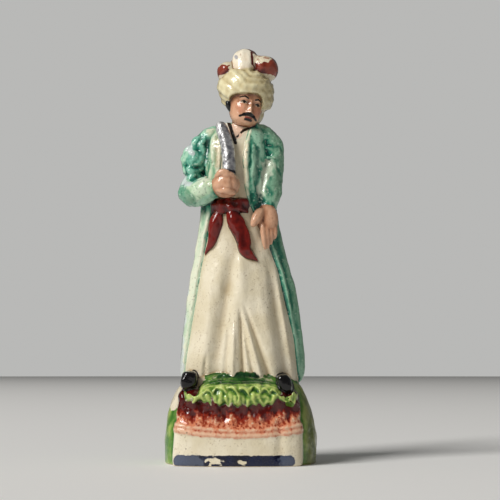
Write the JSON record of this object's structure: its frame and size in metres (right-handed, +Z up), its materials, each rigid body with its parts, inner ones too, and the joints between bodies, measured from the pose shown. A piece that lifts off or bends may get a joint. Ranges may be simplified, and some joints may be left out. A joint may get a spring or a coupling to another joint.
{
  "type": "staffordshire figure",
  "caption": "Moulded earthenware figure of a man in turban, sash and long coat, holding a short curved sword upright, on a rocky mound with a flat underside; an ornament for a shelf.",
  "frame": {"origin": "centre of the flat underside of the base", "axes": "+Z up through the turban, -Y is the front that the figure and the rock face, +X is on the viewer's right"},
  "size_m": [0.0496, 0.037, 0.1391],
  "materials": {
    "glazed_earthenware": "glossy clear glaze over a cream body, painted with enamel colours"
  },
  "bodies": {
    "root": {"turbaned_figure": "glazed_earthenware"}
  },
  "joints": []
}
